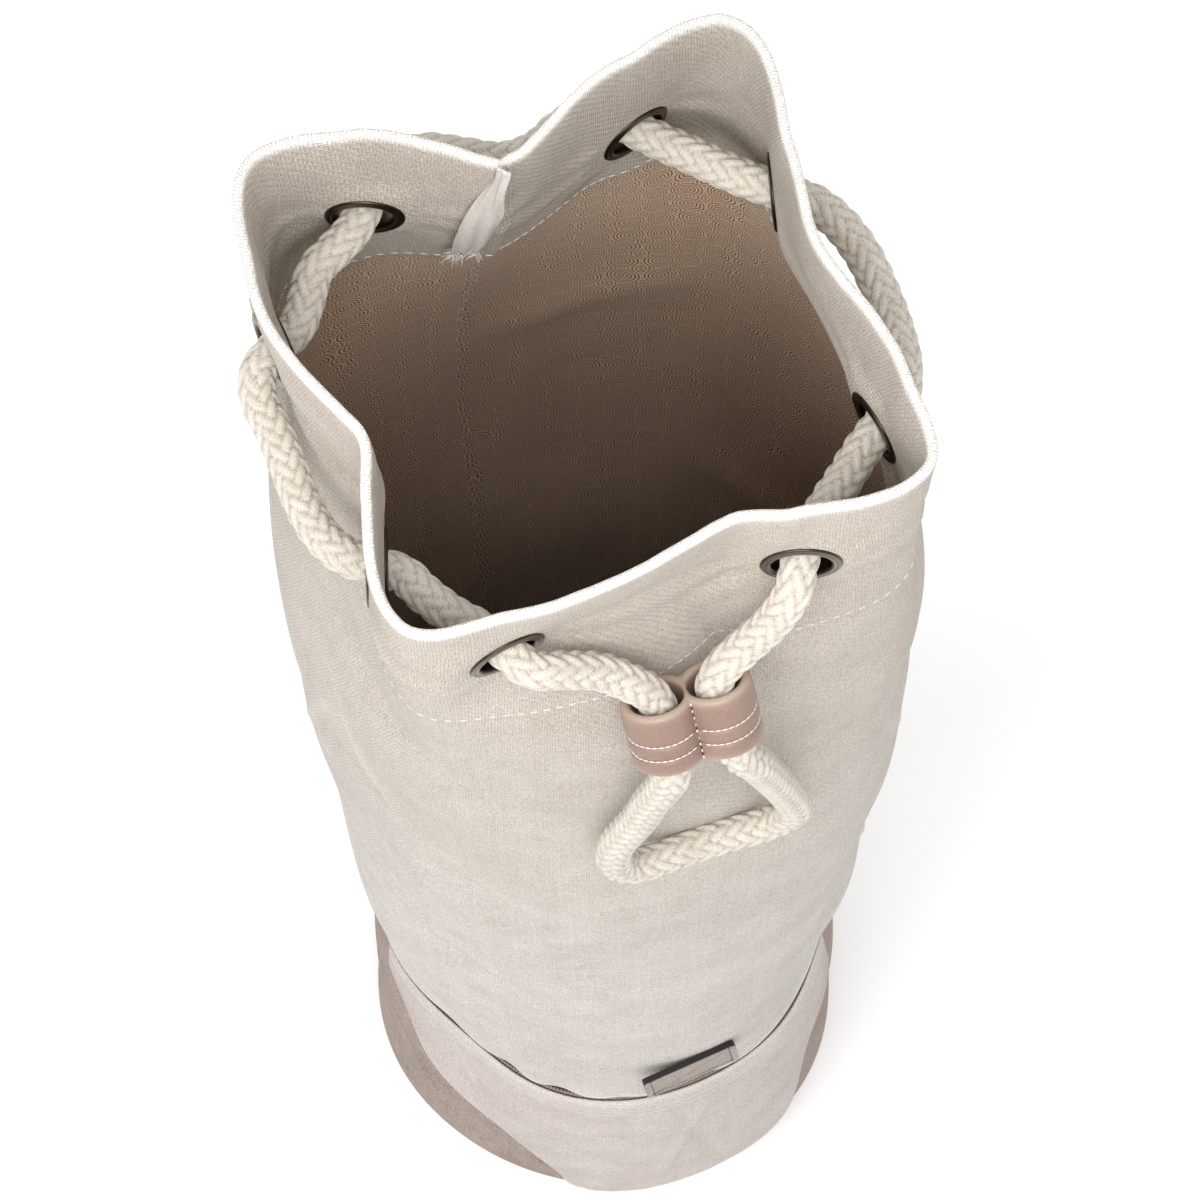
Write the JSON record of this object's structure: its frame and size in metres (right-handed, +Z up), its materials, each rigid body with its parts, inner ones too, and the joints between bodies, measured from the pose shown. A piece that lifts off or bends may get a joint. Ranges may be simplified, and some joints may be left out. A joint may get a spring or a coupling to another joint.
{
  "type": "yoga mat bag",
  "caption": "Tall drawstring canvas bag for a rolled exercise mat, open at its gathered mouth, with a cotton cord through eyelets, a leather slider and a zip pocket at the foot.",
  "frame": {"origin": "the middle of the bag's underside, where it stands", "axes": "+Z up towards the mouth, -Y the front with the slider and the zip pocket, +X to the right seen from the front"},
  "size_m": [0.1617, 0.1567, 0.6515],
  "materials": {
    "canvas": "natural greige cotton canvas, plain weave",
    "print": "taupe printed cotton, overlapping rings",
    "base": "rose-taupe cotton canvas",
    "pocket": "light rose-beige cotton canvas",
    "zip": "taupe nylon coil",
    "cotton": "cream braided cotton",
    "leather": "rose-taupe smooth leather",
    "gunmetal": "dark antique metal"
  },
  "bodies": {
    "root": {"body": "canvas", "lining": "print", "base_band": "base", "base_disc": "base", "pocket_panel": "pocket", "zip": "zip", "cord": "cotton", "slider": "leather", "plate": "gunmetal", "seam_tab": "cotton", "eyelet_1": "gunmetal", "eyelet_2": "gunmetal", "eyelet_3": "gunmetal", "eyelet_4": "gunmetal", "eyelet_5": "gunmetal", "eyelet_6": "gunmetal", "eyelet_7": "gunmetal", "eyelet_8": "gunmetal"}
  },
  "joints": []
}
